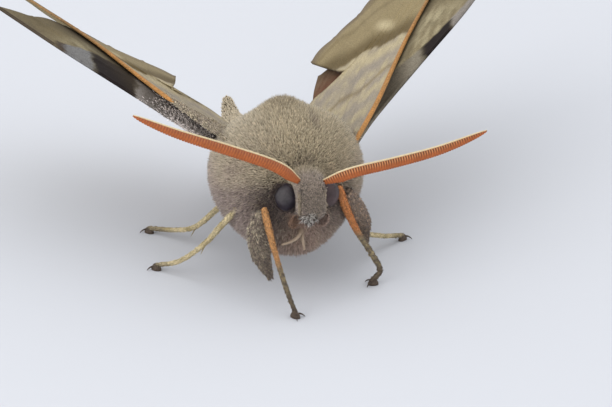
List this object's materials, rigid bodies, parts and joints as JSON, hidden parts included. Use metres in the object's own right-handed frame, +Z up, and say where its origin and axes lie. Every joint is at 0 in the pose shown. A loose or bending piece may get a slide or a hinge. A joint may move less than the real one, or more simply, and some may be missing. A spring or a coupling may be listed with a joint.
{
  "type": "poplar sphinx moth",
  "caption": "Still life-size poplar sphinx moth standing on its feet, furry grey body, wings raised and swept back, rust comb antennae spread.",
  "frame": {"origin": "on the floor under the middle of the moth's box", "axes": "+Z up, -Y the way the moth faces, +X to the moth's left"},
  "size_m": [0.049, 0.0436, 0.0217],
  "materials": {
    "body_fur": "dense short matt fur, khaki grey on top and browner below",
    "face_fur": "short matt grey-brown fur with pale tips",
    "eye": "dark, softly shining compound eye",
    "antenna": "rust-orange comb under a cream shaft",
    "tongue": "cream-grey horn",
    "wing_scales": "dusty matt scales in grey, khaki and dark olive bands",
    "leg_scales": "matt olive and cream scales, orange on the inner faces"
  },
  "bodies": {
    "root": {"head": "face_fur", "eye_left": "eye", "antenna_left": "antenna", "palp_left": "face_fur", "eye_right": "eye", "antenna_right": "antenna", "palp_right": "face_fur", "proboscis": "tongue", "thorax": "body_fur", "abdomen": "body_fur", "forewing_left": "wing_scales", "hindwing_left": "wing_scales", "forewing_right": "wing_scales", "hindwing_right": "wing_scales", "foreleg_left_shank": "leg_scales", "foreleg_left_tarsus": "leg_scales", "foreleg_right_shank": "leg_scales", "foreleg_right_tarsus": "leg_scales", "midleg_left_shank": "leg_scales", "midleg_left_tarsus": "leg_scales", "midleg_right_shank": "leg_scales", "midleg_right_tarsus": "leg_scales", "hindleg_left_shank": "leg_scales", "hindleg_left_tarsus": "leg_scales", "hindleg_right_shank": "leg_scales", "hindleg_right_tarsus": "leg_scales"}
  },
  "joints": []
}
